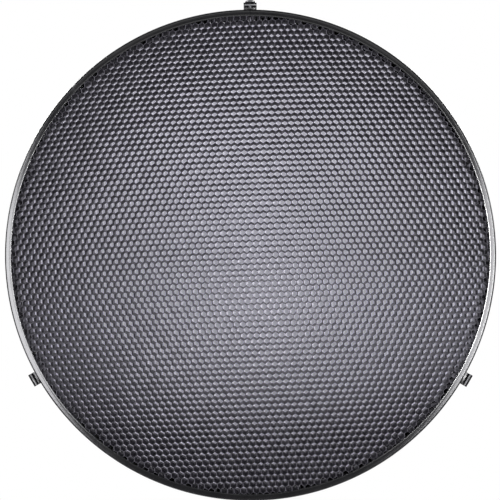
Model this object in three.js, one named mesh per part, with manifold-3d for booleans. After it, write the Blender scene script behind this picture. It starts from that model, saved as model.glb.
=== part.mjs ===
// Honeycomb grid for a 520 mm dish reflector.
// A rolled channel ring holds a foil honeycomb. Three Z-shaped brackets on the ring hook over the
// reflector's rim, and a screw in the top bracket locks it there.
//
// Millimetres, +Z up. The ring's axis is Y. The reflector's rim seats on the plane y = 0, from the -Y side.
import * as THREE from "three";
import { mergeVertices } from "three/addons/utils/BufferGeometryUtils.js";
import Module from "manifold-3d";

const wasm = await Module();
wasm.setup();

// ---- Driving dimensions ----------------------------------------------------------------------------

// Ring: a C-section in sheet metal, open towards the axis.
const RING_RADIUS = 260;
const RING_DEPTH = 30;
const RING_FRONT = -8;
const RING_BACK = RING_FRONT + RING_DEPTH;
const SHEET = 1.2;
const FLANGE = 6.9;
const CORNER_RADIUS = 1.6;
const GROOVE_DEPTH = 0.25;
const LIP_WIDTH = 1.9;
const SEAM_WIDTH = 0.5;
const RING_STEPS = 96;
const CORNER_STEPS = 3;

// Core: foil cells, each side six times the real 4 mm one, with walls thick enough to weigh the same.
const CORE_RADIUS = 256.6;
const CORE_GAP = 0.4;
const CORE_FRONT = RING_FRONT + SHEET + CORE_GAP;
const CORE_BACK = RING_BACK - SHEET - CORE_GAP;
const CORE_FLAT = 254.6;
const CELL_SIDE = 24;
const CELL_WALL = 0.5;
const CORE_STEPS = 72;

// Brackets: a 3.2 mm strip in a Z: a foot on the ring, a floor for the rim, and a leg outside the rim.
// The leg's tip has a rounded edge towards the rim and a bevel outside.
const STRIP = 3.2;
const BRACKET_WIDTH = 13.8;
const FOOT_LENGTH = 13.5;
const FOOT_GAP = 0.3;
const FOOT_SHOULDER = 4.6;
const RIM_GAP = 4.3;
const LEG_LENGTH = 9.5;
const LEG_ROUND = 0.8;
const LEG_BEVEL = 2.2;
const BEND_INSIDE = 1.2;
const BEND_UNDERSIDE = 62;
const BEND_STEPS = 4;
const BRACKET_ANGLES = { top: 90, lower_left: 210, lower_right: 330 };

// Splice: a curved plate inside the channel, across the seam.
const SPLICE_SHEET = 1.2;
const SPLICE_GAP = 0.3;
const SPLICE_DEPTH = 24;
const SPLICE_HALF_ANGLE = 4.2;
const SPLICE_RIVET_ANGLE = 2.7;

// Blind rivets, 3.2 mm, with the mandrel left inside.
const RIVET_SPACING = 7;
const RIVET_Y = 8;
const RIVET_RADIUS = 1.6;
const RIVET_HEAD_RADIUS = 3;
const RIVET_HEAD_HEIGHT = 1.1;
const RIVET_BORE = 0.95;
const RIVET_TAIL_RADIUS = 2.2;
const RIVET_TAIL_LENGTH = 1;
const RIVET_REST_GAP = 0.15;
const HOLE_CLEARANCE = 0.15;
const MANDREL_RADIUS = 0.8;
const MANDREL_HEAD_RADIUS = 1.3;
const MANDREL_HEAD_LENGTH = 0.7;
const MANDREL_RECESS = 0.5;
const RIVET_STEPS = 12;

// Lock screw, M5 x 0.8 with a truss head, and its nylon pad.
const SCREW_Y = -4.2;
const SCREW_RADIUS = 2.4;
const TAPPED_RADIUS = 2.5;
const SCREW_HEAD_RADIUS = 5.9;
const SCREW_HEAD_HEIGHT = 3.3;
const SCREW_HEAD_EDGE = 1.1;
const SCREW_SEAT_GAP = 0.25;
const SPIGOT_RADIUS = 1.5;
const SPIGOT_LENGTH = 1;
const RECESS_SPAN = 5.2;
const RECESS_WIDTH = 1.1;
const RECESS_DEPTH = 1.5;
const PAD_RADIUS = 2.6;
const PAD_THICKNESS = 1.8;
const PAD_ABOVE_RING = 0.5;
const PAD_CLEARANCE = 0.15;
const PAD_CHAMFER = 0.3;
const SCREW_STEPS = 24;
const DOME_STEPS = 5;

// ---- Materials -------------------------------------------------------------------------------------

const paint = (color, roughness, metalness) =>
  new THREE.MeshStandardMaterial({ color, roughness, metalness });
const RING_FINISH = () => paint(0x1b1b1d, 0.3, 0.6);
const FOIL_FINISH = () => paint(0x2a292e, 0.4, 0.5);
const BRACKET_FINISH = () => paint(0x161617, 0.4, 0.5);
const RIVET_FINISH = () => paint(0x202022, 0.45, 0.6);
const STEEL_FINISH = () => paint(0x8a8a8c, 0.4, 1);
const SCREW_FINISH = () => paint(0x303033, 0.25, 1);
const NYLON_FINISH = () => paint(0x141414, 0.6, 0);

// ---- Solids ----------------------------------------------------------------------------------------

// A closed geometry as a manifold-3d solid.
function solid(geometry) {
  const plain = geometry.clone();
  plain.deleteAttribute("normal");
  plain.deleteAttribute("uv");
  const merged = mergeVertices(plain, 1e-4);
  return new wasm.Manifold(
    new wasm.Mesh({
      numProp: 3,
      vertProperties: new Float32Array(merged.attributes.position.array),
      triVerts: new Uint32Array(merged.index.array),
    }),
  );
}

// A manifold-3d solid as a named mesh.
function piece(name, made, material) {
  const { vertProperties, triVerts } = made.getMesh();
  const geometry = new THREE.BufferGeometry();
  geometry.setAttribute("position", new THREE.BufferAttribute(new Float32Array(vertProperties), 3));
  geometry.setIndex(new THREE.BufferAttribute(new Uint32Array(triVerts), 1));
  geometry.computeVertexNormals();
  const mesh = new THREE.Mesh(geometry, material);
  mesh.name = name;
  return mesh;
}

// A profile of [radius, height] points turned about Y.
function turned(profile, steps) {
  const points = profile.map(([r, y]) => new THREE.Vector2(r, y));
  return solid(new THREE.LatheGeometry(points, steps));
}

// Points on an arc, from one angle to another, in degrees.
function arc(x, y, radius, from, to, steps) {
  return Array.from({ length: steps + 1 }, (_, i) => {
    const angle = THREE.MathUtils.degToRad(from + ((to - from) * i) / steps);
    return [x + radius * Math.cos(angle), y + radius * Math.sin(angle)];
  });
}

// An outline in XY, extruded along Z and centred on it.
function extruded(outline, width) {
  const shape = new THREE.Shape(outline.map(([x, y]) => new THREE.Vector2(x, y)));
  const geometry = new THREE.ExtrudeGeometry(shape, { depth: width, bevelEnabled: false });
  return solid(geometry.translate(0, 0, -width / 2));
}

// A box between two corners.
function block([x0, y0, z0], [x1, y1, z1]) {
  const geometry = new THREE.BoxGeometry(x1 - x0, y1 - y0, z1 - z0);
  return solid(geometry.translate((x0 + x1) / 2, (y0 + y1) / 2, (z0 + z1) / 2));
}

// A drill along local X, which is the radial direction at a station on the ring.
function radialDrill(radius, from, to, y, z, steps) {
  const geometry = new THREE.CylinderGeometry(radius, radius, to - from, steps);
  geometry.rotateZ(Math.PI / 2);
  return solid(geometry.translate((from + to) / 2, y, z));
}

// A group whose local X points out from the ring's axis at this angle, and whose local Y is the axis.
function station(degrees) {
  const group = new THREE.Group();
  group.rotation.y = -THREE.MathUtils.degToRad(degrees);
  return group;
}

// Moves a solid from a station's frame to the part's.
const fromStation = (made, degrees) => made.rotate([0, -degrees, 0]);

// ---- Ring ------------------------------------------------------------------------------------------

const WALL_INSIDE = RING_RADIUS - SHEET;
const LIP_RADIUS = RING_RADIUS - FLANGE;

function ringProfile() {
  const corner = RING_RADIUS - CORNER_RADIUS;
  const grooveIn = LIP_RADIUS + LIP_WIDTH;
  const grooveOut = corner - 0.6;
  return [
    [LIP_RADIUS, RING_FRONT + SHEET],
    [LIP_RADIUS, RING_FRONT + 0.4],
    [LIP_RADIUS + 0.4, RING_FRONT],
    [LIP_RADIUS + 1.2, RING_FRONT],
    [grooveIn, RING_FRONT + GROOVE_DEPTH],
    [grooveOut, RING_FRONT + GROOVE_DEPTH],
    ...arc(corner, RING_FRONT + CORNER_RADIUS, CORNER_RADIUS, -90, 0, CORNER_STEPS),
    ...arc(corner, RING_BACK - CORNER_RADIUS, CORNER_RADIUS, 0, 90, CORNER_STEPS),
    [LIP_RADIUS, RING_BACK],
    [LIP_RADIUS, RING_BACK - SHEET],
    [WALL_INSIDE, RING_BACK - SHEET],
    [WALL_INSIDE, RING_FRONT + SHEET],
    [LIP_RADIUS, RING_FRONT + SHEET],
  ];
}

const seam = block(
  [-SEAM_WIDTH / 2, RING_FRONT - 1, LIP_RADIUS - 5],
  [SEAM_WIDTH / 2, RING_BACK + 1, RING_RADIUS + 5],
);

// ---- Core ------------------------------------------------------------------------------------------

// The space inside an outline of this radius, with the flat at the top that clears the splice rivets.
function coreBlank(inset, front, back) {
  const radius = CORE_RADIUS - inset;
  const disc = new THREE.CylinderGeometry(radius, radius, back - front, CORE_STEPS);
  const above = block(
    [-RING_RADIUS, front - 1, CORE_FLAT - inset],
    [RING_RADIUS, back + 1, RING_RADIUS],
  );
  return solid(disc.translate(0, (front + back) / 2, 0)).subtract(above);
}

// Hexagonal prisms, pointing up, one for each cell.
function cells() {
  const pitch = CELL_SIDE * Math.sqrt(3);
  const rise = CELL_SIDE * 1.5;
  const reach = Math.ceil(CORE_RADIUS / rise) + 1;
  const length = CORE_BACK - CORE_FRONT + 4;
  const open = CELL_SIDE - CELL_WALL / Math.sqrt(3);
  const prism = new THREE.CylinderGeometry(open, open, length, 6);
  prism.translate(0, (CORE_FRONT + CORE_BACK) / 2, 0);
  const cell = solid(prism);
  const made = [];
  for (let row = -reach; row <= reach; row += 1) {
    for (let column = -reach; column <= reach; column += 1) {
      const x = (column + (Math.abs(row) % 2) / 2) * pitch;
      const z = row * rise;
      if (Math.hypot(x, z) < CORE_RADIUS + CELL_SIDE) made.push(cell.translate([x, 0, z]));
    }
  }
  return wasm.Manifold.union(made);
}

const coreHoles = cells().intersect(coreBlank(CELL_WALL, CORE_FRONT - 1, CORE_BACK + 1));
const core = coreBlank(0, CORE_FRONT, CORE_BACK).subtract(coreHoles);

// ---- Brackets --------------------------------------------------------------------------------------

const FOOT_INSIDE = RING_RADIUS + FOOT_GAP;
const FOOT_OUTSIDE = FOOT_INSIDE + STRIP;
const LEG_INSIDE = RING_RADIUS + RIM_GAP;
const LEG_OUTSIDE = LEG_INSIDE + STRIP;
const BEND_OUTSIDE = BEND_INSIDE + STRIP;

// The strip's edge, in a station's frame: X is the radius and the floor's top face is y = 0.
function bracketOutline() {
  const bend = LEG_INSIDE - BEND_INSIDE;
  return [
    [FOOT_INSIDE, FOOT_LENGTH],
    [FOOT_INSIDE, 0.8],
    [FOOT_INSIDE + 0.8, 0],
    ...arc(bend, -BEND_INSIDE, BEND_INSIDE, 90, 0, BEND_STEPS),
    ...arc(LEG_INSIDE + LEG_ROUND, LEG_ROUND - LEG_LENGTH, LEG_ROUND, 180, 270, BEND_STEPS),
    [LEG_OUTSIDE - LEG_BEVEL, -LEG_LENGTH],
    [LEG_OUTSIDE, LEG_BEVEL - LEG_LENGTH],
    ...arc(bend, -BEND_INSIDE, BEND_OUTSIDE, 0, BEND_UNDERSIDE, BEND_STEPS),
    [FOOT_OUTSIDE, FOOT_SHOULDER],
    [FOOT_OUTSIDE, FOOT_LENGTH],
  ];
}

const rivetHole = RIVET_RADIUS + HOLE_CLEARANCE;
const rivetSides = { a: -RIVET_SPACING / 2, b: RIVET_SPACING / 2 };
const footHoles = Object.values(rivetSides).map((z) =>
  radialDrill(rivetHole, LIP_RADIUS + 2, LEG_OUTSIDE + 2, RIVET_Y, z, RIVET_STEPS),
);

function bracket() {
  return extruded(bracketOutline(), BRACKET_WIDTH).subtract(wasm.Manifold.union(footHoles));
}

const tappedHole = radialDrill(
  TAPPED_RADIUS, LEG_INSIDE - 1, LEG_OUTSIDE + 2, SCREW_Y, 0, SCREW_STEPS,
);

// ---- Splice plate ----------------------------------------------------------------------------------

const SPLICE_OUTSIDE = WALL_INSIDE - SPLICE_GAP;
const SPLICE_INSIDE = SPLICE_OUTSIDE - SPLICE_SHEET;

const spliceHole = radialDrill(
  rivetHole, LIP_RADIUS + 2, RING_RADIUS + 2, RIVET_Y, 0, RIVET_STEPS,
);
const spliceAngles = { left: 90 + SPLICE_RIVET_ANGLE, right: 90 - SPLICE_RIVET_ANGLE };
const spliceHoles = Object.values(spliceAngles).map((angle) => fromStation(spliceHole, angle));
const topFootHoles = footHoles.map((hole) => fromStation(hole, BRACKET_ANGLES.top));

function splicePlate() {
  const middle = (RING_FRONT + RING_BACK) / 2;
  const steps = 8;
  const from = THREE.MathUtils.degToRad(90 - SPLICE_HALF_ANGLE);
  const to = THREE.MathUtils.degToRad(90 + SPLICE_HALF_ANGLE);
  const shape = new THREE.Shape();
  shape.absarc(0, 0, SPLICE_OUTSIDE, from, to, false);
  shape.absarc(0, 0, SPLICE_INSIDE, to, from, true);
  const geometry = new THREE.ExtrudeGeometry(shape, {
    depth: SPLICE_DEPTH,
    bevelEnabled: false,
    curveSegments: steps,
  });
  geometry.rotateX(Math.PI / 2);
  geometry.translate(0, middle + SPLICE_DEPTH / 2, 0);
  return solid(geometry).subtract(wasm.Manifold.union([...spliceHoles, ...topFootHoles]));
}

// ---- Rivets ----------------------------------------------------------------------------------------

// A blind rivet about Y, its head outside. It clamps from one radius on the ring to another.
function rivet(inside, outside) {
  const seat = outside + RIVET_REST_GAP;
  const tail = inside - RIVET_REST_GAP;
  const end = tail - RIVET_TAIL_LENGTH;
  return turned(
    [
      [RIVET_BORE, end],
      [RIVET_RADIUS, end],
      [RIVET_TAIL_RADIUS, end + 0.3],
      [RIVET_TAIL_RADIUS, tail - 0.1],
      [RIVET_RADIUS, tail],
      [RIVET_RADIUS, seat],
      [RIVET_HEAD_RADIUS, seat],
      [RIVET_HEAD_RADIUS - 0.4, seat + RIVET_HEAD_HEIGHT * 0.55],
      [RIVET_HEAD_RADIUS * 0.55, seat + RIVET_HEAD_HEIGHT],
      [RIVET_BORE, seat + RIVET_HEAD_HEIGHT],
      [RIVET_BORE, end],
    ],
    RIVET_STEPS,
  );
}

// The mandrel left in the rivet: its head bears on the rivet's tail.
function mandrel(inside, outside) {
  const neck = inside - RIVET_REST_GAP - RIVET_TAIL_LENGTH - 0.05;
  const broken = outside + RIVET_REST_GAP + RIVET_HEAD_HEIGHT - MANDREL_RECESS;
  return turned(
    [
      [0, neck - MANDREL_HEAD_LENGTH],
      [MANDREL_HEAD_RADIUS - 0.4, neck - MANDREL_HEAD_LENGTH],
      [MANDREL_HEAD_RADIUS, neck - MANDREL_HEAD_LENGTH + 0.3],
      [MANDREL_HEAD_RADIUS, neck],
      [MANDREL_RADIUS, neck],
      [MANDREL_RADIUS, broken],
      [0, broken],
    ],
    RIVET_STEPS,
  );
}

// One rivet and its mandrel, at a place in a station's frame.
function addRivet(group, name, inside, outside, z) {
  const fasteners = [
    piece(name, rivet(inside, outside), RIVET_FINISH()),
    piece(`${name}_mandrel`, mandrel(inside, outside), STEEL_FINISH()),
  ];
  for (const fastener of fasteners) {
    fastener.rotation.z = -Math.PI / 2;
    fastener.position.set(0, RIVET_Y, z);
    group.add(fastener);
  }
}

// ---- Lock screw and pad ----------------------------------------------------------------------------

const PAD_INSIDE = RING_RADIUS + PAD_ABOVE_RING;
const PAD_OUTSIDE = PAD_INSIDE + PAD_THICKNESS;
const HEAD_SEAT = LEG_OUTSIDE + SCREW_SEAT_GAP;

// The truss head's dome: a spherical cap from its edge to its crown.
function dome() {
  const cap = SCREW_HEAD_HEIGHT - SCREW_HEAD_EDGE;
  const sphere = (SCREW_HEAD_RADIUS ** 2 + cap ** 2) / (2 * cap);
  const centre = HEAD_SEAT + SCREW_HEAD_HEIGHT - sphere;
  const edge = THREE.MathUtils.radToDeg(Math.acos(SCREW_HEAD_RADIUS / sphere));
  return arc(0, centre, sphere, edge, 90, DOME_STEPS);
}

function lockScrew() {
  const shoulder = PAD_OUTSIDE + PAD_CLEARANCE;
  const crown = HEAD_SEAT + SCREW_HEAD_HEIGHT;
  const body = turned(
    [
      [0, shoulder - SPIGOT_LENGTH],
      [SPIGOT_RADIUS, shoulder - SPIGOT_LENGTH],
      [SPIGOT_RADIUS, shoulder],
      [SCREW_RADIUS, shoulder],
      [SCREW_RADIUS, HEAD_SEAT],
      [SCREW_HEAD_RADIUS, HEAD_SEAT],
      ...dome(),
    ],
    SCREW_STEPS,
  );
  const slots = [
    [RECESS_SPAN / 2, RECESS_WIDTH / 2],
    [RECESS_WIDTH / 2, RECESS_SPAN / 2],
  ].map(([x, z]) => block([-x, crown - RECESS_DEPTH, -z], [x, crown + 1, z]));
  return body.subtract(slots[0].add(slots[1]));
}

function lockScrewPad() {
  const socket = SPIGOT_RADIUS + PAD_CLEARANCE;
  const bottom = PAD_OUTSIDE - SPIGOT_LENGTH;
  return turned(
    [
      [0, PAD_INSIDE],
      [PAD_RADIUS - PAD_CHAMFER, PAD_INSIDE],
      [PAD_RADIUS, PAD_INSIDE + PAD_CHAMFER],
      [PAD_RADIUS, PAD_OUTSIDE],
      [socket, PAD_OUTSIDE],
      [socket, bottom],
      [0, bottom],
    ],
    SCREW_STEPS,
  );
}

// ---- Assembly --------------------------------------------------------------------------------------

const grid = new THREE.Group();

const bracketHoles = Object.values(BRACKET_ANGLES).flatMap((angle) =>
  footHoles.map((hole) => fromStation(hole, angle)),
);
const ring = turned(ringProfile(), RING_STEPS)
  .subtract(seam)
  .subtract(wasm.Manifold.union([...bracketHoles, ...spliceHoles]));
grid.add(piece("ring_channel", ring, RING_FINISH()));
grid.add(piece("honeycomb_core", core, FOIL_FINISH()));
grid.add(piece("splice_plate", splicePlate(), BRACKET_FINISH()));

for (const [place, angle] of Object.entries(BRACKET_ANGLES)) {
  const group = station(angle);
  const top = place === "top";
  const name = `bracket_${place}`;
  const strip = top ? bracket().subtract(tappedHole) : bracket();
  group.add(piece(name, strip, BRACKET_FINISH()));
  for (const [side, z] of Object.entries(rivetSides)) {
    addRivet(group, `${name}_rivet_${side}`, top ? SPLICE_INSIDE : WALL_INSIDE, FOOT_OUTSIDE, z);
  }
  grid.add(group);
}

for (const [side, angle] of Object.entries(spliceAngles)) {
  const group = station(angle);
  addRivet(group, `splice_rivet_${side}`, SPLICE_INSIDE, RING_RADIUS, 0);
  grid.add(group);
}

const screwStation = station(BRACKET_ANGLES.top);
const screwPieces = [
  piece("lock_screw", lockScrew(), SCREW_FINISH()),
  piece("lock_screw_pad", lockScrewPad(), NYLON_FINISH()),
];
for (const screwPiece of screwPieces) {
  screwPiece.rotation.z = -Math.PI / 2;
  screwPiece.position.set(0, SCREW_Y, 0);
  screwStation.add(screwPiece);
}
grid.add(screwStation);

export default grid;
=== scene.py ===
"""Looks for the honeycomb grid: the fine foil core, the formed ring, its brackets, rivets and lock screw.

Metres, +Z up. The ring's axis is Y and the front of the grid faces -Y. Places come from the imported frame.
"""

import math

import bmesh
import bpy
import numpy as np
from mathutils import Matrix, Vector


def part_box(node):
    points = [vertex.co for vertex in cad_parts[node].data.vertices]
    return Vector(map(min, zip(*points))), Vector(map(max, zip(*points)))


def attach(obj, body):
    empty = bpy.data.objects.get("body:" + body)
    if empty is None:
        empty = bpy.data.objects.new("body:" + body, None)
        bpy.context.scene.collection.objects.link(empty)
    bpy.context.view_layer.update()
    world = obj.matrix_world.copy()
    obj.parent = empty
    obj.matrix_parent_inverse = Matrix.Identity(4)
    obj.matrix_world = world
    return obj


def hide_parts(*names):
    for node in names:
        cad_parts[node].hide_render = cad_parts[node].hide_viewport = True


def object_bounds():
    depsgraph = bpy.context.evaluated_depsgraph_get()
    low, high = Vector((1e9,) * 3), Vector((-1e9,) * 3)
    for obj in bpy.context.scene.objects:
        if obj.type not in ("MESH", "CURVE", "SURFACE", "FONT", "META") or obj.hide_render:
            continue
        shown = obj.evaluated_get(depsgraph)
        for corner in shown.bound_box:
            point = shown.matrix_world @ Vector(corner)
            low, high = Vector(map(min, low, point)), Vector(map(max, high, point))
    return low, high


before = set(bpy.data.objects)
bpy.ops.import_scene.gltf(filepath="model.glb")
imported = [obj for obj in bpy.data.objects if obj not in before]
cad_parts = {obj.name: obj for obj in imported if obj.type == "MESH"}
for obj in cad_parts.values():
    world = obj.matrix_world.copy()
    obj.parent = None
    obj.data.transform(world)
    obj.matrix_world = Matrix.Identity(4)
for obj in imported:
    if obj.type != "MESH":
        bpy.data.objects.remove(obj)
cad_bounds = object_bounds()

MM = 0.001
SEED = 17

# ---- Places from the frame --------------------------------------------------------------------------

ring_low, ring_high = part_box("ring_channel")
core_low, core_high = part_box("honeycomb_core")
screw_low, screw_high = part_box("lock_screw")
pad_low, pad_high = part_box("lock_screw_pad")

RING_RADIUS = ring_high.x
RING_FRONT = ring_low.y
RING_BACK = ring_high.y
CORE_FRONT = core_low.y
CORE_BACK = core_high.y
CORE_FLAT = core_high.z
CORE_RADIUS = core_high.x - 0.7 * MM

# ---- Dimensions that the frame's boxes don't give -----------------------------------------------------

SHEET = 1.2 * MM
FLANGE = 6.9 * MM
LIP_RADIUS = RING_RADIUS - FLANGE
LIP_WIDTH = 1.9 * MM
GROOVE_DEPTH = 0.04 * MM
SEAM_WIDTH = 0.5 * MM
WALL_INSIDE = RING_RADIUS - SHEET

STRIP = 3.2 * MM
BRACKET_WIDTH = 13.8 * MM
FOOT_LENGTH = 13.5 * MM
FOOT_INSIDE = RING_RADIUS + 0.3 * MM
FOOT_OUTSIDE = FOOT_INSIDE + STRIP
LEG_INSIDE = RING_RADIUS + 4.3 * MM
LEG_OUTSIDE = LEG_INSIDE + STRIP
FOOT_SHOULDER = 4.6 * MM
LEG_LENGTH = 9.5 * MM
LEG_ROUND = 0.8 * MM
LEG_BEVEL = 2.2 * MM
BEND_INSIDE = 1.2 * MM
BEND_UNDERSIDE = 62
BRACKET_ANGLES = {"top": 90, "lower_left": 210, "lower_right": 330}

SPLICE_OUTSIDE = WALL_INSIDE - 0.3 * MM
SPLICE_INSIDE = SPLICE_OUTSIDE - 1.2 * MM
SPLICE_WIDTH = 24 * MM
SPLICE_REACH = 4.2
SPLICE_ANGLES = {"left": 92.7, "right": 87.3}

RIVET_Y = 8 * MM
RIVET_SIDES = {"a": -3.5 * MM, "b": 3.5 * MM}
RIVET_RADIUS = 1.6 * MM
RIVET_BORE = 0.95 * MM
RIVET_HEAD_RADIUS = 3 * MM
RIVET_HEAD_HEIGHT = 1.1 * MM
RIVET_TAIL_RADIUS = 2.2 * MM
RIVET_TAIL_LENGTH = 1 * MM
RIVET_GAP = 0.15 * MM
MANDREL_RADIUS = 0.8 * MM
MANDREL_HEAD_RADIUS = 1.3 * MM
MANDREL_HEAD_LENGTH = 0.7 * MM
MANDREL_RECESS = 0.5 * MM

SCREW_Y = (screw_low.y + screw_high.y) / 2
SCREW_CROWN = screw_high.z
SCREW_HEAD_RADIUS = (screw_high.x - screw_low.x) / 2
SCREW_HEAD_HEIGHT = 3.3 * MM
SCREW_HEAD_EDGE = 1.1 * MM
SCREW_TIP = screw_low.z
THREAD_TOP = 2.4 * MM
THREAD_ROOT = 2.0 * MM
THREAD_PITCH = 0.8 * MM
TAPPED_RADIUS = 2.5 * MM
SPIGOT_RADIUS = 1.5 * MM
SPIGOT_LENGTH = 1 * MM
RECESS_SPAN = 5.2 * MM
RECESS_WIDTH = 1.1 * MM
RECESS_DEPTH = 1.5 * MM
PAD_RADIUS = (pad_high.x - pad_low.x) / 2
PAD_INSIDE = pad_low.z
PAD_OUTSIDE = pad_high.z

# ---- Mesh tools ---------------------------------------------------------------------------------------


def fillet(corners, steps=4):
    """An outline's points, with each (x, y, radius) corner rounded to that radius."""
    made = []
    count = len(corners)
    for i, (x, y, radius) in enumerate(corners):
        here = Vector((x, y))
        if radius <= 0:
            made.append((x, y))
            continue
        before = (Vector(corners[i - 1][:2]) - here).normalized()
        after = (Vector(corners[(i + 1) % count][:2]) - here).normalized()
        opening = before.angle(after)
        reach = radius / math.tan(opening / 2)
        middle = here + (before + after).normalized() * (radius / math.sin(opening / 2))
        first = here + before * reach - middle
        last = here + after * reach - middle
        turn = first.angle_signed(last)
        for step in range(steps + 1):
            spun = first.copy()
            spun.rotate(Matrix.Rotation(-turn * step / steps, 2))
            made.append(tuple(middle + spun))
    return made


def station(degrees):
    """Local X points out from the ring's axis at this angle, and local Y is the axis."""
    angle = math.radians(degrees)
    out = Vector((math.cos(angle), 0, math.sin(angle)))
    along = Vector((0, 1, 0))
    side = out.cross(along)
    return Matrix((out, along, side)).transposed().to_4x4()


def mesh_object(name, points, faces):
    """A new mesh in the scene, from its points and the indices of each face's corners."""
    mesh = bpy.data.meshes.new(name)
    mesh.from_pydata([tuple(p) for p in points], [], faces)
    mesh.update()
    made = bpy.data.objects.new(name, mesh)
    bpy.context.scene.collection.objects.link(made)
    return made


def swept(name, profile, start, end, steps):
    """A closed (radius, y) profile carried round the ring's axis between two angles, with flat ends."""
    points = []
    for step in range(steps + 1):
        angle = math.radians(start + (end - start) * step / steps)
        points += [(r * math.cos(angle), y, r * math.sin(angle)) for r, y in profile]
    count = len(profile)
    faces = [tuple(range(count)), tuple(range(steps * count, (steps + 1) * count))[::-1]]
    for step in range(steps):
        low, high = step * count, (step + 1) * count
        for i in range(count):
            j = (i + 1) % count
            faces.append((low + j, low + i, high + i, high + j))
    return outward(mesh_object(name, points, faces))


def lathed(name, profile, steps):
    """A (x, radius) profile turned about local X. It starts and ends on the axis, or closes on itself."""
    points, rings = [], []
    for x, radius in profile:
        if radius < 1e-7:
            rings.append([len(points)])
            points.append((x, 0, 0))
            continue
        rings.append(list(range(len(points), len(points) + steps)))
        for step in range(steps):
            angle = 2 * math.pi * step / steps
            points.append((x, radius * math.cos(angle), radius * math.sin(angle)))
    pairs = list(zip(rings, rings[1:]))
    if len(rings[0]) > 1:
        pairs.append((rings[-1], rings[0]))
    faces = []
    for a, b in pairs:
        for step in range(steps):
            after = (step + 1) % steps
            if len(a) == 1:
                faces.append((a[0], b[step], b[after]))
            elif len(b) == 1:
                faces.append((a[step], b[0], a[after]))
            else:
                faces.append((a[step], b[step], b[after], a[after]))
    return outward(mesh_object(name, points, faces))


def prism(name, outline, depth):
    """A local XY outline, extruded along local Z and centred on it."""
    count = len(outline)
    points = [(x, y, -depth / 2) for x, y in outline] + [(x, y, depth / 2) for x, y in outline]
    faces = [tuple(range(count))[::-1], tuple(range(count, 2 * count))]
    for i in range(count):
        j = (i + 1) % count
        faces.append((i, j, count + j, count + i))
    return outward(mesh_object(name, points, faces))


def outward(made):
    """Turns a closed mesh's faces to point out."""
    work = bmesh.new()
    work.from_mesh(made.data)
    bmesh.ops.recalc_face_normals(work, faces=work.faces)
    work.to_mesh(made.data)
    work.free()
    return made


def applied(made):
    """Replaces a mesh by what its modifiers make of it."""
    graph = bpy.context.evaluated_depsgraph_get()
    result = bpy.data.meshes.new_from_object(made.evaluated_get(graph))
    made.modifiers.clear()
    made.data = result
    return made


def combined(made, operation, *tools):
    """Cuts other meshes out of this one (DIFFERENCE) or joins them to it (UNION), then removes them."""
    for tool in tools:
        change = made.modifiers.new("combine", "BOOLEAN")
        change.operation = operation
        change.solver = "EXACT"
        change.object = tool
    applied(made)
    for tool in tools:
        bpy.data.objects.remove(tool)
    return made


def softened(made, width, angle):
    """Rounds a mesh's edges where its faces meet at more than this angle."""
    change = made.modifiers.new("edges", "BEVEL")
    change.width = width
    change.segments = 3
    change.limit_method = "ANGLE"
    change.angle_limit = math.radians(angle)
    change.harden_normals = False
    return applied(made)


def drill(radius, start, end, y, z, steps=24):
    """A cylinder along local X, to cut a hole with."""
    tool = lathed("drill", [(start, 0), (start, radius), (end, radius), (end, 0)], steps)
    tool.data.transform(Matrix.Translation((0, y, z)))
    return tool


def placed(made, degrees):
    """Moves a mesh made in a station's frame to its place on the ring."""
    made.data.transform(station(degrees))
    return made


def dressed(made, node, body, material, smooth_angle=35):
    """Gives a piece its finish, hides the frame's part that it stands for, and says what it moves with."""
    made.data.materials.clear()
    made.data.materials.append(material)
    made.data.polygons.foreach_set("use_smooth", [smooth_angle > 0] * len(made.data.polygons))
    if smooth_angle > 0:
        made.data.set_sharp_from_angle(angle=math.radians(smooth_angle))
    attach(made, body)
    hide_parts(node)
    return made


# ---- Materials ----------------------------------------------------------------------------------------


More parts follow.
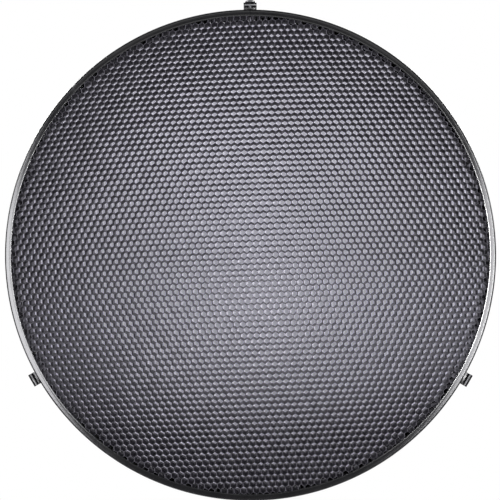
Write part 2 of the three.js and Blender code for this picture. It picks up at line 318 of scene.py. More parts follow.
class Finish:
    """A material's node tree, with short names for the nodes that the materials share."""

    def __init__(self, name):
        self.material = bpy.data.materials.new(name)
        self.material.use_nodes = True
        self.tree = self.material.node_tree
        self.shader = self.tree.nodes["Principled BSDF"]
        self.where = self.add("ShaderNodeTexCoord").outputs["Object"]

    def add(self, kind, **settings):
        """A new node with these settings."""
        node = self.tree.nodes.new(kind)
        for key, value in settings.items():
            setattr(node, key, value)
        return node

    def link(self, output, target):
        self.tree.links.new(output, target)

    def give(self, target, value):
        """Links an input to an output, or sets it to a plain value."""
        if isinstance(value, bpy.types.NodeSocket):
            self.link(value, target)
        else:
            target.default_value = value

    def set(self, **values):
        """Gives the shader's inputs their values. An underscore in a name stands for a space."""
        for key, value in values.items():
            self.give(self.shader.inputs[key.replace("_", " ")], value)

    def math(self, operation, *values):
        """What a maths node makes of these outputs or numbers."""
        node = self.add("ShaderNodeMath", operation=operation)
        for target, value in zip(node.inputs, values):
            self.give(target, value)
        return node.outputs[0]

    def along(self, axis):
        """How far a point is along X, Y or Z."""
        node = self.add("ShaderNodeSeparateXYZ")
        self.link(self.where, node.inputs[0])
        return node.outputs[axis]

    def distance(self, flattened):
        """How far a point is from the origin, once its place is multiplied by this."""
        flat = self.add("ShaderNodeVectorMath", operation="MULTIPLY")
        flat.inputs[1].default_value = flattened
        self.link(self.where, flat.inputs[0])
        length = self.add("ShaderNodeVectorMath", operation="LENGTH")
        self.link(flat.outputs["Vector"], length.inputs[0])
        return length.outputs["Value"]

    def noise(self, scale, detail=3, roughness=0.5, stretch=None):
        """Noise with this many waves to a metre, stretched along the axes whose factor is below 1."""
        node = self.add("ShaderNodeTexNoise")
        node.inputs["Scale"].default_value = scale
        node.inputs["Detail"].default_value = detail
        node.inputs["Roughness"].default_value = roughness
        source = self.where
        if stretch:
            mapping = self.add("ShaderNodeMapping")
            mapping.inputs["Scale"].default_value = stretch
            self.link(source, mapping.inputs["Vector"])
            source = mapping.outputs["Vector"]
        self.link(source, node.inputs["Vector"])
        return node.outputs["Fac"]

    def ranged(self, value, low, high, to_low, to_high, interpolation="LINEAR"):
        """Turns the range from low to high into the range from to_low to to_high, and stops at its ends."""
        node = self.add("ShaderNodeMapRange", interpolation_type=interpolation)
        for key, number in (
            ("From Min", low), ("From Max", high), ("To Min", to_low), ("To Max", to_high),
        ):
            node.inputs[key].default_value = number
        self.link(value, node.inputs["Value"])
        return node.outputs["Result"]

    def blend(self, factor, first, second):
        """From the first colour at 0 to the second at 1."""
        node = self.add("ShaderNodeMix", data_type="RGBA")
        self.link(factor, node.inputs["Factor"])
        for target, color in ((node.inputs[6], first), (node.inputs[7], second)):
            self.give(target, (*color, 1) if isinstance(color, tuple) else color)
        return node.outputs[2]

    def bump(self, height, distance, strength=1.0, below=None):
        """A bump this many metres high. It lies on top of the bump below, if there is one."""
        node = self.add("ShaderNodeBump")
        node.inputs["Strength"].default_value = strength
        node.inputs["Distance"].default_value = distance
        self.link(height, node.inputs["Height"])
        if below is not None:
            self.link(below, node.inputs["Normal"])
        return node.outputs["Normal"]

    def edges(self, low=0.53, high=0.62):
        """From 0 on flats to 1 along worn convex edges."""
        pointiness = self.add("ShaderNodeNewGeometry").outputs["Pointiness"]
        return self.ranged(pointiness, low, high, 0, 1)


PEEL = 0.02 * MM
# The light grey painted in a strip on the inner side of each bracket leg's tip.
TIP_LIGHT_GREY = (0.42, 0.42, 0.43)


def leg_tip(finish):
    """1 on the inner side of a bracket leg's tip, where a light grey strip is painted, and 0 elsewhere."""
    near_end = finish.ranged(finish.along("Y"), 2.2 * MM - LEG_LENGTH, 3.4 * MM - LEG_LENGTH, 1, 0)
    radius = finish.distance((1, 0, 1))
    inner_side = finish.ranged(radius, LEG_INSIDE + 0.2 * MM, LEG_INSIDE + 0.45 * MM, 1, 0)
    return finish.math("MULTIPLY", near_end, inner_side)


def painted(name, color, worn, roughness, metallic=0.0, wear=0.35, light_tip=False):
    """Baked paint: faint mottling, orange peel, small scuffs and edges rubbed a little lighter.

    A light tip has a light grey strip painted on the inner side of each leg's tip.
    """
    finish = Finish(name)
    mottled = finish.ranged(finish.noise(60, 4), 0.35, 0.65, 0, 1)
    shade = finish.blend(mottled, tuple(c * 0.82 for c in color), tuple(c * 1.18 for c in color))
    patchy = finish.ranged(finish.noise(140, 5), 0.4, 0.7, 0, wear)
    coat = finish.blend(finish.math("MULTIPLY", finish.edges(), patchy), shade, worn)
    if light_tip:
        # A light grey strip painted on the inner side of the leg's tip.
        coat = finish.blend(leg_tip(finish), coat, TIP_LIGHT_GREY)
    smudges = finish.ranged(finish.noise(22, 5, 0.6), 0.3, 0.7, roughness * 0.88, roughness * 1.15)
    peel = finish.bump(finish.noise(900, 2), PEEL)
    scuffs = finish.noise(500, 3, 0.7, stretch=(1, 8, 1))
    normal = finish.bump(scuffs, PEEL * 0.6, 0.6, peel)
    finish.set(Base_Color=coat, Roughness=smudges, Normal=normal, Metallic=metallic)
    return finish.material


FOIL_DARK = (0.026, 0.024, 0.031)
FOIL_LIGHT = (0.034, 0.031, 0.041)
FOIL_DUST = (0.060, 0.058, 0.070)
FOIL_EDGE = (0.24, 0.23, 0.27)
# Roughness at the front and the rear of the grid, and index of refraction. The bonded walls are two foils
# thick and lie flatter, so they reflect more at the rear.
FREE_WALL = {"front": 0.30, "rear": 0.30, "gloss": 1.3}
BONDED_WALL = {"front": 0.6, "rear": 0.12, "gloss": 1.5}


def foil_material(name, front, rear, gloss):
    """Dark lacquered foil: a patchy cool grey with rolled streaks, small dents and bare cut edges.

    The lacquer is duller at the front of the grid, where it was sprayed on, than at the rear.
    """
    finish = Finish(name)
    y = finish.along("Y")
    depth = CORE_BACK - CORE_FRONT
    patches = finish.ranged(finish.noise(26, 3), 0.3, 0.7, 0, 1)
    speckle = finish.ranged(finish.noise(700, 3, 0.7), 0.62, 0.78, 0, 0.5)
    coat = finish.blend(speckle, finish.blend(patches, FOIL_DARK, FOIL_LIGHT), FOIL_DUST)
    from_middle = finish.math("ABSOLUTE", finish.math("SUBTRACT", y, (CORE_FRONT + CORE_BACK) / 2))
    cut_edge = finish.ranged(from_middle, depth / 2 - 0.3 * MM, depth / 2 - 0.05 * MM, 0, 1)
    lacquer = finish.ranged(y, CORE_FRONT + 0.3 * depth, CORE_FRONT + 0.6 * depth, front, rear)
    uneven = finish.ranged(finish.noise(150, 2), 0.3, 0.7, 0.85, 1.2)
    dents = finish.bump(finish.noise(240, 2), 0.10 * MM)
    streaks = finish.noise(1200, 2, 0.6, stretch=(1, 0.08, 1))
    finish.set(
        Base_Color=finish.blend(cut_edge, coat, FOIL_EDGE),
        Roughness=finish.math("MULTIPLY", lacquer, uneven),
        Normal=finish.bump(streaks, 0.015 * MM, 0.7, dents),
        IOR=gloss,
    )
    return finish.material


def steel_material():
    """Snapped mandrel steel: grey, grainy, with a few rust-brown specks."""
    finish = Finish("mandrel_steel")
    grain = finish.ranged(finish.noise(3000, 4, 0.7), 0.3, 0.7, 0, 1)
    shade = finish.blend(grain, (0.22, 0.22, 0.23), (0.42, 0.42, 0.43))
    rust = finish.ranged(finish.noise(1500, 3), 0.62, 0.7, 0, 0.6)
    finish.set(
        Base_Color=finish.blend(rust, shade, (0.16, 0.08, 0.045)),
        Normal=finish.bump(grain, 0.03 * MM),
        Metallic=1.0,
        Roughness=0.42,
    )
    return finish.material


def screw_material():
    """Black oxide on a turned screw: dark steel with a fine grain and brighter worn edges."""
    finish = Finish("screw_black_oxide")
    oxide = finish.ranged(finish.noise(400, 4), 0.35, 0.65, 0, 1)
    shade = finish.blend(oxide, (0.12, 0.12, 0.125), (0.19, 0.19, 0.2))
    patchy = finish.ranged(finish.noise(900, 3), 0.45, 0.6, 0, 0.7)
    worn = finish.math("MULTIPLY", finish.edges(0.52, 0.6), patchy)
    finish.set(
        Base_Color=finish.blend(worn, shade, (0.30, 0.30, 0.31)),
        Normal=finish.bump(finish.noise(2500, 2), 0.012 * MM),
        Metallic=0.9,
        Roughness=0.3,
    )
    return finish.material


def nylon_material():
    """Moulded black nylon: matt, with a fine moulded grain."""
    finish = Finish("pad_nylon")
    grain = finish.noise(1800, 3)
    mottled = finish.ranged(grain, 0.3, 0.7, 0, 1)
    finish.set(
        Base_Color=finish.blend(mottled, (0.010, 0.010, 0.011), (0.022, 0.022, 0.023)),
        Normal=finish.bump(grain, 0.02 * MM),
        Roughness=0.55,
    )
    return finish.material


RING_PAINT = painted("ring_black_enamel", (0.006, 0.006, 0.0065), (0.045, 0.045, 0.048), 0.14)
BRACKET_PAINT = painted("bracket_black", (0.010, 0.010, 0.011), (0.05, 0.05, 0.052), 0.26, light_tip=True)
SPLICE_PAINT = painted("splice_black", (0.014, 0.014, 0.015), (0.05, 0.05, 0.052), 0.5)
RIVET_PAINT = painted("rivet_black", (0.018, 0.018, 0.019), (0.12, 0.12, 0.12), 0.4, metallic=0.3, wear=0.6)
FOIL = foil_material("foil_free_wall", **FREE_WALL)
BONDED_FOIL = foil_material("foil_bonded_wall", **BONDED_WALL)
STEEL = steel_material()
OXIDE = screw_material()
NYLON = nylon_material()

# ---- Camera -------------------------------------------------------------------------------------------

CAMERA_DISTANCE = 1152 * MM
CAMERA_SIDE = 9 * MM
CAMERA_HEIGHT = -4 * MM
AIM = Vector((-0.1 * MM, RING_FRONT, 5.0 * MM))
SENSOR = 36.0

# The share of the frame's width that the ring takes, at its outline just behind its rounded front corner.
RING_IN_FRAME = 0.982
OUTLINE_DEPTH = 1.6 * MM


def make_camera():
    """Straight in front of the grid, close enough that only the middle cells are seen right through."""
    camera = bpy.data.objects.new("camera", bpy.data.cameras.new("camera"))
    bpy.context.scene.collection.objects.link(camera)
    camera.location = (CAMERA_SIDE, RING_FRONT - CAMERA_DISTANCE, CAMERA_HEIGHT)
    camera.rotation_euler = (AIM - camera.location).to_track_quat("-Z", "Y").to_euler()
    camera.data.sensor_width = SENSOR
    camera.data.lens = SENSOR * RING_IN_FRAME * (CAMERA_DISTANCE + OUTLINE_DEPTH) / (2 * RING_RADIUS)
    camera.data.clip_start = 0.01
    camera.data.clip_end = 50
    bpy.context.scene.camera = camera


# ---- Stage and light ----------------------------------------------------------------------------------

FLOOR_DROP = 400 * MM
FLOOR_RADIUS = 1.1
BACKDROP_GAP = 1.5 * MM
BACKDROP_RADIUS = RING_RADIUS - 1 * MM

# The backdrop's glow is painted shade, dimmer than the white round the grid: its level at the middle, and how
# much brighter it is painted at the ring's top and at its right.
BACKDROP_MIDDLE = 0.32
BACKDROP_UP = 0.165
BACKDROP_RIGHT = 0.01


def disc(name, radius, to_place):
    """A flat round stage surface. to_place turns a point of its plane into (x, y, z)."""
    sides = 96
    points = [to_place(0, 0)]
    for step in range(sides):
        angle = 2 * math.pi * step / sides
        points.append(to_place(radius * math.cos(angle), radius * math.sin(angle)))
    return mesh_object(name, points, [(0, 1 + i, 1 + (i + 1) % sides) for i in range(sides)])


def one_sided(surface, finish, shader, hidden):
    """Shows this shader from the surface's front, where hidden is 0, and lets light through elsewhere."""
    finish.tree.nodes.remove(finish.shader)
    behind = finish.add("ShaderNodeNewGeometry").outputs["Backfacing"]
    mix = finish.add("ShaderNodeMixShader")
    finish.link(finish.math("MAXIMUM", behind, hidden), mix.inputs[0])
    finish.link(shader, mix.inputs[1])
    finish.link(finish.add("ShaderNodeBsdfTransparent").outputs[0], mix.inputs[2])
    finish.link(mix.outputs[0], finish.tree.nodes["Material Output"].inputs["Surface"])
    surface.data.materials.append(finish.material)


def make_floor():
    """A pale floor below the grid, fading into the white round it."""
    bottom = cad_bounds[0].z - FLOOR_DROP
    floor = disc("floor", FLOOR_RADIUS, lambda x, y: (x, y, bottom))
    finish = Finish("floor_white")
    paint = finish.add("ShaderNodeBsdfDiffuse")
    paint.inputs["Color"].default_value = (0.86, 0.86, 0.87, 1)
    fade = finish.ranged(
        finish.distance((1, 1, 0)), FLOOR_RADIUS * 0.35, FLOOR_RADIUS * 0.98, 0, 1, "SMOOTHSTEP"
    )
    one_sided(floor, finish, paint.outputs[0], fade)


def make_backdrop():
    """The surface close behind the cells, with the shade behind the grid painted on it as a dim glow.

    Its glow is painted shade, less even than the white round the grid and painted brighter towards the top
    and the right, and on top of it lies whatever light comes through the cells onto it.
    """
    y = RING_BACK + BACKDROP_GAP
    backdrop = disc("backdrop", BACKDROP_RADIUS, lambda x, z: (x, y, z))
    finish = Finish("backdrop_painted_shade")
    # Painted light and shade: the glow is made brighter towards the top and the right.
    upper = finish.math("MULTIPLY_ADD", finish.along("Z"), BACKDROP_UP / RING_RADIUS, BACKDROP_MIDDLE)
    level = finish.math("MULTIPLY_ADD", finish.along("X"), BACKDROP_RIGHT / RING_RADIUS, upper)
    # This emission is painted shade, not a lamp: a glow dimmer than the white round the grid.
    glow = finish.add("ShaderNodeEmission")
    glow.inputs["Color"].default_value = (0.89, 0.875, 1.0, 1)
    finish.link(level, glow.inputs["Strength"])
    paper = finish.add("ShaderNodeBsdfDiffuse")
    paper.inputs["Color"].default_value = (0.80, 0.785, 0.88, 1)
    both = finish.add("ShaderNodeAddShader")
    finish.link(glow.outputs[0], both.inputs[0])
    finish.link(paper.outputs[0], both.inputs[1])
    one_sided(backdrop, finish, both.outputs[0], finish.add("ShaderNodeLightPath").outputs["Is Shadow Ray"])


WORLD_DIM = (0.055, 0.054, 0.062, 1)


def make_world():
    """White to the camera, and a dim room to everything else."""
    world = bpy.data.worlds.new("world")
    bpy.context.scene.world = world
    world.use_nodes = True
    tree = world.node_tree
    tree.nodes.clear()
    output = tree.nodes.new("ShaderNodeOutputWorld")
    path = tree.nodes.new("ShaderNodeLightPath")
    mix = tree.nodes.new("ShaderNodeMixShader")
    room = tree.nodes.new("ShaderNodeBackground")
    room.inputs["Color"].default_value = WORLD_DIM
    white = tree.nodes.new("ShaderNodeBackground")
    white.inputs["Color"].default_value = (1, 1, 1, 1)
    tree.links.new(path.outputs["Is Camera Ray"], mix.inputs[0])
    tree.links.new(room.outputs[0], mix.inputs[1])
    tree.links.new(white.outputs[0], mix.inputs[2])
    tree.links.new(mix.outputs[0], output.inputs["Surface"])


WHITE = (1, 1, 1)
COOL_WHITE = (0.972, 0.966, 1.0)
MIDDLE = (0, 0, 0)

# (name, place, target, width, height, power in watts, colour). The two softboxes are what the ring's sides
# reflect, the strip shines through the cells onto the backdrop, and the rear lights are for the back and top.
LIGHTS = (
    ("left_softbox", (-0.57, -1.6, -0.09), MIDDLE, 0.42, 0.56, 13, COOL_WHITE),
    ("right_softbox", (0.57, -1.6, -0.09), MIDDLE, 0.42, 0.56, 9.5, COOL_WHITE),
    ("strip_through_cells", (0.35, -2.2, -0.04), MIDDLE, 0.10, 0.26, 22, WHITE),
    ("side_left", (-2.4, -1.3, 0.7), MIDDLE, 0.9, 0.9, 30, WHITE),
    ("side_right", (2.4, -1.3, 0.7), MIDDLE, 0.9, 0.9, 30, WHITE),
    ("rear_top", (0, 1.4, 1.3), (0, 0, 0.26), 0.9, 0.5, 4, WHITE),
    ("front_fill", (0, -2.2, 0.35), MIDDLE, 0.9, 0.6, 2, WHITE),
    ("rear_left", (-1.3, 1.6, 0.9), MIDDLE, 0.8, 0.8, 40, WHITE),
    ("rear_right", (1.3, 1.6, 0.9), MIDDLE, 0.8, 0.8, 40, WHITE),
)


def make_lights():
    """Area lights that the camera doesn't see."""
    for name, place, target, width, height, power, color in LIGHTS:
        data = bpy.data.lights.new(name, "AREA")
        data.shape = "RECTANGLE"
        data.size = width
        data.size_y = height
        data.energy = power
        data.color = color
        light = bpy.data.objects.new(name, data)
        bpy.context.scene.collection.objects.link(light)
        light.location = place
        light.rotation_euler = (Vector(target) - Vector(place)).to_track_quat("-Z", "Y").to_euler()
        light.visible_camera = False


# ---- Ring ---------------------------------------------------------------------------------------------

RING_STEPS = 480
SEAM_HALF = math.degrees(SEAM_WIDTH / 2 / RING_RADIUS)


def ring_profile():
    """The rolled channel, open towards the axis. The front flange has a raised lip and a shallow groove."""
    groove_in = LIP_RADIUS + LIP_WIDTH
    ridge = RING_RADIUS - 1.75 * MM
    groove = RING_FRONT + GROOVE_DEPTH
    return fillet(
        [
            (LIP_RADIUS, RING_FRONT + SHEET, 0.15 * MM),
            (LIP_RADIUS, RING_FRONT, 0.5 * MM),
            (groove_in - 0.3 * MM, RING_FRONT, 0.9 * MM),
            (groove_in + 0.5 * MM, groove, 0.9 * MM),
            (ridge - 0.9 * MM, groove, 0.9 * MM),
            (ridge, RING_FRONT, 0.5 * MM),
            (RING_RADIUS, RING_FRONT, 1.3 * MM),
            (RING_RADIUS, RING_BACK, 1.6 * MM),
            (LIP_RADIUS, RING_BACK, 0.35 * MM),
            (LIP_RADIUS, RING_BACK - SHEET, 0.35 * MM),
            (WALL_INSIDE, RING_BACK - SHEET, 0.5 * MM),
            (WALL_INSIDE, RING_FRONT + SHEET, 0.5 * MM),
        ],
        steps=5,
    )


def rivet_places():
    """(name, angle, offset along the ring, inner radius, outer radius) of each blind rivet."""
    made = []
    for place, angle in BRACKET_ANGLES.items():
        inside = SPLICE_INSIDE if place == "top" else WALL_INSIDE
        for side, offset in RIVET_SIDES.items():
            made.append((f"bracket_{place}_rivet_{side}", angle, offset, inside, FOOT_OUTSIDE))
    for side, angle in SPLICE_ANGLES.items():
        made.append((f"splice_rivet_{side}", angle, 0, SPLICE_INSIDE, RING_RADIUS))
    return made


HOLE_RADIUS = RIVET_RADIUS + RIVET_GAP


def rivet_drills(start, end, words=("rivet",)):
    """A drill for every rivet whose name holds one of these words."""
    return [
        placed(drill(HOLE_RADIUS, start, end, RIVET_Y, offset), angle)
        for name, angle, offset, _, _ in rivet_places()
        if any(word in name for word in words)
    ]


def make_ring():
    """The ring, almost a full turn from one side of its seam to the other, with its rivet holes."""
    ring = swept("ring", ring_profile(), 90 + SEAM_HALF, 450 - SEAM_HALF, RING_STEPS)
    combined(ring, "DIFFERENCE", *rivet_drills(WALL_INSIDE - 1 * MM, RING_RADIUS + 1 * MM))
    dressed(ring, "ring_channel", "grid", RING_PAINT, 30)


def make_splice():
    """The plate inside the channel that joins the ring's two ends."""
    corner = 0.25 * MM
    middle = (RING_FRONT + RING_BACK) / 2
    front, back = middle - SPLICE_WIDTH / 2, middle + SPLICE_WIDTH / 2
    profile = fillet(
        [
            (SPLICE_INSIDE, front, corner), (SPLICE_OUTSIDE, front, corner),
            (SPLICE_OUTSIDE, back, corner), (SPLICE_INSIDE, back, corner),
        ],
        steps=3,
    )
    plate = swept("splice_plate_formed", profile, 90 - SPLICE_REACH, 90 + SPLICE_REACH, 24)
    near_seam = rivet_drills(SPLICE_INSIDE - 1 * MM, SPLICE_OUTSIDE + 1 * MM, ("top", "splice"))
    combined(plate, "DIFFERENCE", *near_seam)
    dressed(plate, "splice_plate", "grid", SPLICE_PAINT)


# ---- Core ---------------------------------------------------------------------------------------------

ROWS_EACH_WAY = 46
HALF_COLUMNS_EACH_WAY = 82
CELL_PITCH = 6.85 * MM
ROW_PITCH = 6.10 * MM
WALL_LENGTH = 3.95 * MM
FOIL_THICKNESS = 0.08 * MM
FOIL_BOND = 0.02 * MM
UPRIGHT_SLOPE = 0.3

# Unevenness, as standard deviations: of each wall's ends, and of how far its back leans from its front.
NODE_WANDER = 0.05 * MM
CELL_LEAN = 0.15 * MM

# The back of the core sits higher than its front by the shear. Halfway between them the slanted walls belly
# down. Below the core's middle they belly less and less, and at the bottom up, by at most the lowest share.
CORE_SHEAR = 0.45 * MM
WALL_BELLY = -1.9 * MM
BELLY_CHANGE = 2.3
BELLY_LOWEST = -0.8

# How the foil settled when it was pulled open and pressed into the ring, in millimetres at CORE_SPAN.
CORE_SPAN = 250 * MM
ACROSS, UP = 248.2, 252.4
COLUMNS_LEAN = -17.9
COLUMNS_BOW = 6.8
COLUMNS_CURL = 3.7
COLUMNS_SPREAD = 3.0
ROWS_CLIMB = 8.7
ROWS_SAG = -4.0
ROWS_CURL = 4.1
ROWS_CROWD_ABOVE = -4.7
ROWS_CROWD_BELOW = -2.8
ROWS_PINCH = -8.5
ROWS_TWIST = 2.3


def settled(across, up):
    """Where a point of the even honeycomb ends up once the core is pulled open in its ring."""
    u, v = across / CORE_SPAN, up / CORE_SPAN
    x = ACROSS * u + COLUMNS_LEAN * v + COLUMNS_BOW * v**2 + COLUMNS_SPREAD * u**3 + COLUMNS_CURL * v**3
    z = ROWS_CLIMB * u + UP * v + ROWS_SAG * u**2 + ROWS_CROWD_ABOVE * v**2 + ROWS_CURL * u**3
    z += ROWS_PINCH * u**2 * v + ROWS_TWIST * u * v**2 + ROWS_CROWD_BELOW * v**3
    return np.stack([x, z], -1) * MM


def core_nodes():
    """The rows, the half columns, and the ends of every upright wall at the core's front, middle and back.

    The ends are three arrays, by row, half column, lower or upper end, and (x, z).
    """
    random = np.random.default_rng(SEED)
    rows = np.arange(-ROWS_EACH_WAY, ROWS_EACH_WAY + 1)
    halves = np.arange(-HALF_COLUMNS_EACH_WAY, HALF_COLUMNS_EACH_WAY + 1)
    ends = np.array([-0.5, 0.5])
    up = rows[:, None, None] * ROW_PITCH + ends * WALL_LENGTH
    across = np.broadcast_to(halves[None, :, None] * CELL_PITCH / 2, (len(rows), len(halves), 2))
    front = settled(across, np.broadcast_to(up, across.shape))
    front = front + random.normal(0, NODE_WANDER, front.shape)
    wall_lean = random.normal(0, CELL_LEAN, (len(rows), len(halves), 1, 2))
    back = front + wall_lean + random.normal(0, CELL_LEAN / 3, front.shape)
    back[..., 1] += CORE_SHEAR
    middle = (front + back) / 2
    share = np.clip(1 + BELLY_CHANGE * up / CORE_SPAN, BELLY_LOWEST, 1)
    middle[..., 1] += WALL_BELLY * share * random.uniform(0.85, 1.15, middle.shape[:-1])
    return rows, halves, (front, middle, back)


def inside_core(point):
    """True inside the core's outline: the ring's round wall, with a flat across the top."""
    return math.hypot(*point) < CORE_RADIUS and point[1] < CORE_FLAT


def trimmed(lines):
    """A ribbon's front, middle and back lines, cut where the front one meets the ring."""
    front = lines[0]
    kept = [i for i, point in enumerate(front) if inside_core(point)]
    if len(kept) < 2:
        return None
    first, last = kept[0], kept[-1]
    ends = []
    for inner, outer in ((first, first - 1), (last, last + 1)):
        low, high = 0.0, 1.0
        for _ in range(20):
            share = (low + high) / 2
            if inside_core(front[inner] + (front[outer] - front[inner]) * share):
                low = share
            else:
                high = share
        ends.append([line[inner] + (line[outer] - line[inner]) * low for line in lines])
    return [
        np.vstack([ends[0][side], line[first : last + 1], ends[1][side]])
        for side, line in enumerate(lines)
    ]


def thickened(line):
    """The two sides of a ribbon's line, half the foil's thickness away, mitred at the bends."""
    step = np.diff(line, axis=0)
    step /= np.linalg.norm(step, axis=1)[:, None]
    normal = np.stack([-step[:, 1], step[:, 0]], -1)
    before = np.vstack([normal[:1], normal])
    after = np.vstack([normal, normal[-1:]])
    lean = (before * after).sum(1)[:, None]
    mitre = (before + after) / np.maximum(1 + lean, 0.3) * FOIL_THICKNESS / 2
    return line + mitre, line - mitre


def make_core():
    """Foil ribbons that run up the grid in zigzags, bonded side by side along every upright wall."""
    rows, halves, layers = core_nodes()
    depths = (CORE_FRONT, (CORE_FRONT + CORE_BACK) / 2, CORE_BACK)
    aside = (FOIL_THICKNESS + FOIL_BOND) / 2
    points, faces, bonded = [], [], []
    for index in range(len(halves) - 1):
        at_left = (halves[index] + rows) % 2 == 1
        column = np.where(at_left, index, index + 1)
        shift = np.where(at_left, aside, -aside)
        lines = []
        for layer in layers:
            line = layer[np.arange(len(rows)), column].copy()
            line[:, :, 0] += shift[:, None]
            lines.append(line.reshape(-1, 2))
        ribbon = trimmed(lines)
        if ribbon is None:
            continue
        start = len(points)
        sides = [thickened(line) for line in ribbon]
        count = len(ribbon[0])
        around = 2 * len(depths)
        for i in range(count):
            points += [(left[i][0], y, left[i][1]) for (left, _), y in zip(sides, depths)]
            points += [(right[i][0], y, right[i][1]) for (_, right), y in zip(sides[::-1], depths[::-1])]
        faces.append(tuple(range(start, start + around)))
        for i in range(count - 1):
            a, b = start + around * i, start + around * (i + 1)
            across, up = np.abs(ribbon[0][i + 1] - ribbon[0][i])
            if across < UPRIGHT_SLOPE * up:
                bonded += range(len(faces), len(faces) + around)
            faces += [(a + j, b + j, b + (j + 1) % around, a + (j + 1) % around) for j in range(around)]
        end = start + around * (count - 1)
        faces.append(tuple(range(end, end + around))[::-1])
    core = mesh_object("foil_core", points, faces)
    dressed(core, "honeycomb_core", "grid", FOIL, 0)
    core.data.materials.append(BONDED_FOIL)
    slots = np.zeros(len(faces), dtype=np.int32)
    slots[bonded] = 1
    core.data.polygons.foreach_set("material_index", slots)


# ---- Brackets -----------------------------------------------------------------------------------------


def bracket_outline():
    """The strip's edge, in a station's frame: X is the radius, and the floor's rim side is y = 0."""
    underside = []
    for step in range(9):
        angle = math.radians(BEND_UNDERSIDE * step / 8)
        reach = BEND_INSIDE + STRIP
        x = LEG_INSIDE - BEND_INSIDE + reach * math.cos(angle)
        underside.append((x, reach * math.sin(angle) - BEND_INSIDE, 0))
    return fillet(
        [
            (FOOT_INSIDE, FOOT_LENGTH, 0), (FOOT_INSIDE, 0, 0.8 * MM),
            (LEG_INSIDE, 0, BEND_INSIDE), (LEG_INSIDE, -LEG_LENGTH, LEG_ROUND),
            (LEG_OUTSIDE - LEG_BEVEL, -LEG_LENGTH, 0), (LEG_OUTSIDE, LEG_BEVEL - LEG_LENGTH, 0),
            *underside,
            (FOOT_OUTSIDE, FOOT_SHOULDER, 0), (FOOT_OUTSIDE, FOOT_LENGTH, 0),
        ],
        steps=8,
    )


def make_bracket(place, angle):
    """A strip with two rivet holes in its foot. The top one's leg also has a hole for the lock screw."""
    name = f"bracket_{place}"
    bracket = prism(f"{name}_strip", bracket_outline(), BRACKET_WIDTH)
    holes = [
        drill(HOLE_RADIUS, FOOT_INSIDE - 1 * MM, LEG_OUTSIDE + 1 * MM, RIVET_Y, offset)
        for offset in RIVET_SIDES.values()
    ]
    if place == "top":
        holes.append(drill(TAPPED_RADIUS, LEG_INSIDE - 1 * MM, LEG_OUTSIDE + 1 * MM, SCREW_Y, 0, 32))
    combined(bracket, "DIFFERENCE", *holes)
    softened(bracket, 0.22 * MM, 32)
    placed(bracket, angle)
    dressed(bracket, name, "grid", BRACKET_PAINT, 40)


# ---- Rivets -------------------------------------------------------------------------------------------


def rivet_profile(inside, outside):
    """A blind rivet's (x, radius) section, its domed head outside."""
    seat = outside + RIVET_GAP
    tail = inside - RIVET_GAP
    end = tail - RIVET_TAIL_LENGTH
    crown = seat + RIVET_HEAD_HEIGHT
    small = 0.12 * MM
    return fillet(
        [
            (end, RIVET_BORE, small), (end, RIVET_RADIUS, small),
            (end + 0.35 * MM, RIVET_TAIL_RADIUS, 0.2 * MM), (tail, RIVET_TAIL_RADIUS, 0.1 * MM),
            (tail, RIVET_RADIUS, 0), (seat, RIVET_RADIUS, 0),
            (seat, RIVET_HEAD_RADIUS, small),
            (seat + RIVET_HEAD_HEIGHT * 0.5, RIVET_HEAD_RADIUS - 0.3 * MM, 0.7 * MM),
            (crown, RIVET_HEAD_RADIUS * 0.5, 0.5 * MM), (crown, RIVET_BORE, small),
        ],
        steps=4,
    )


def mandrel_profile(inside, outside):
    """The pin left in the rivet: its head bears on the rivet's tail, and its other end is snapped."""
    neck = inside - RIVET_GAP - RIVET_TAIL_LENGTH - 0.05 * MM
    broken = outside + RIVET_GAP + RIVET_HEAD_HEIGHT - MANDREL_RECESS
    head = neck - MANDREL_HEAD_LENGTH
    return fillet(
        [
            (head, 0, 0), (head, MANDREL_HEAD_RADIUS, 0.35 * MM), (neck, MANDREL_HEAD_RADIUS, 0.1 * MM),
            (neck, MANDREL_RADIUS, 0), (broken - 0.25 * MM, MANDREL_RADIUS, 0.1 * MM),
            (broken - 0.1 * MM, MANDREL_RADIUS * 0.62, 0.1 * MM), (broken, 0, 0),
        ],
        steps=3,
    )


def make_rivets():
    """Each blind rivet, and the mandrel left in it."""
    for name, angle, offset, inside, outside in rivet_places():
        parts = (
            (f"{name}_body", name, rivet_profile(inside, outside), RIVET_PAINT, "rivet_black"),
            (f"{name}_pin", f"{name}_mandrel", mandrel_profile(inside, outside), STEEL, "mandrel_steel"),
        )
        for piece, node, profile, material, slot in parts:
            made = lathed(piece, profile, 40)
            made.data.transform(Matrix.Translation((0, RIVET_Y, offset)))
            dressed(placed(made, angle), node, "grid", material)


# ---- Lock screw and pad -------------------------------------------------------------------------------


def thread(name, start, end):
    """A helical M5 thread about local X, closed at both ends, where it tapers to its root."""
    around, per_pitch = 36, 8
    count = int(math.ceil((end - start) / THREAD_PITCH * per_pitch))
    points = [(start, 0, 0)]
    for i in range(count + 1):
        x = start + (end - start) * i / count
        taper = min(1.0, (x - start) / (0.5 * MM), (end - x) / (0.3 * MM))
        for step in range(around):
            angle = 2 * math.pi * step / around
            phase = (x / THREAD_PITCH - step / around) % 1
            crest = 1 - abs(2 * phase - 1)
            height = min(1.0, max(0.0, 1.35 * crest - 0.15))
            radius = THREAD_ROOT + (THREAD_TOP - THREAD_ROOT) * height * taper
            points.append((x, radius * math.cos(angle), radius * math.sin(angle)))
    points.append((end, 0, 0))
    faces = []
    for step in range(around):
        after = (step + 1) % around
        faces.append((0, 1 + step, 1 + after))
        last = 1 + count * around
        faces.append((len(points) - 1, last + after, last + step))
        for i in range(count):
            a, b = 1 + i * around, 1 + (i + 1) * around
            faces.append((a + step, b + step, b + after, a + after))
    return outward(mesh_object(name, points, faces))


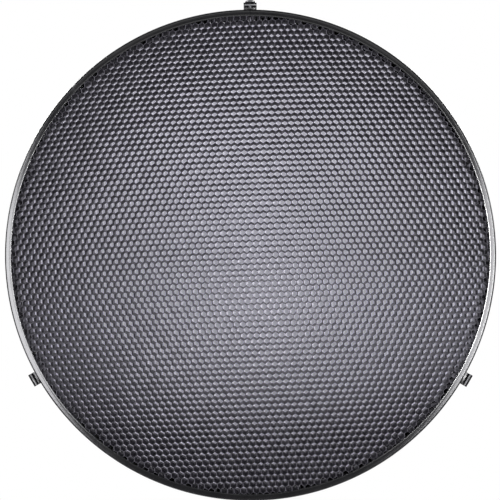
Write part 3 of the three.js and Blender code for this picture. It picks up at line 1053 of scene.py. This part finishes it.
def dome(crown, radius, height, edge, steps):
    """Points of a shallow domed head's top, from its edge to its crown."""
    cap = height - edge
    sphere = (radius**2 + cap**2) / (2 * cap)
    widest = math.asin(radius / sphere)
    return [
        (crown - sphere + sphere * math.cos(a), sphere * math.sin(a))
        for a in (widest * (1 - i / steps) for i in range(steps + 1))
    ]


def make_screw():
    """The domed head with its cross recess, the threaded shank, and the plain spigot that holds the pad."""
    seat = SCREW_CROWN - SCREW_HEAD_HEIGHT
    shoulder = SCREW_TIP + SPIGOT_LENGTH
    top = dome(SCREW_CROWN, SCREW_HEAD_RADIUS, SCREW_HEAD_HEIGHT, SCREW_HEAD_EDGE, 14)
    under = [(seat, 0), (seat, SCREW_HEAD_RADIUS - 0.15 * MM), (seat + 0.15 * MM, SCREW_HEAD_RADIUS)]
    screw = lathed("lock_screw_turned", [*under, *top[:-1], (SCREW_CROWN, 0)], 64)
    arms = []
    for span, width in ((RECESS_SPAN, RECESS_WIDTH), (RECESS_WIDTH, RECESS_SPAN)):
        arm = prism("arm", [(-1, -1), (1, -1), (1, 1), (-1, 1)], 2)
        arm.data.transform(Matrix.Diagonal((RECESS_DEPTH, span / 2, width / 2, 1)))
        arm.data.transform(Matrix.Translation((SCREW_CROWN, 0, 0)))
        arms.append(arm)
    combined(screw, "DIFFERENCE", *arms)
    inside = shoulder + 0.3 * MM
    spigot = [
        (SCREW_TIP, 0, 0), (SCREW_TIP, SPIGOT_RADIUS, 0.2 * MM), (inside, SPIGOT_RADIUS, 0), (inside, 0, 0),
    ]
    shank = thread("shank", shoulder, seat + 0.2 * MM)
    combined(screw, "UNION", shank, lathed("spigot", fillet(spigot), 32))
    screw.data.transform(Matrix.Translation((0, SCREW_Y, 0)))
    dressed(placed(screw, BRACKET_ANGLES["top"]), "lock_screw", "screw", OXIDE, 32)


def make_pad():
    """The nylon pad on the screw's spigot, with a chamfered face for the rim."""
    socket = SPIGOT_RADIUS + 0.15 * MM
    bottom = PAD_OUTSIDE - SPIGOT_LENGTH
    profile = fillet(
        [
            (PAD_INSIDE, 0, 0), (PAD_INSIDE, PAD_RADIUS, 0.3 * MM), (PAD_OUTSIDE, PAD_RADIUS, 0.12 * MM),
            (PAD_OUTSIDE, socket, 0.08 * MM), (bottom, socket, 0.08 * MM), (bottom, 0, 0),
        ],
        steps=4,
    )
    pad = lathed("lock_screw_pad_moulded", profile, 48)
    pad.data.transform(Matrix.Translation((0, SCREW_Y, 0)))
    dressed(placed(pad, BRACKET_ANGLES["top"]), "lock_screw_pad", "pad", NYLON)


# ---- Scene --------------------------------------------------------------------------------------------

scene = bpy.context.scene
scene.view_settings.view_transform = "Standard"
scene.view_settings.look = "None"

make_camera()
make_world()
make_lights()
make_floor()
make_backdrop()
make_ring()
make_splice()
make_core()
for place, angle in BRACKET_ANGLES.items():
    make_bracket(place, angle)
make_rivets()
make_screw()
make_pad()
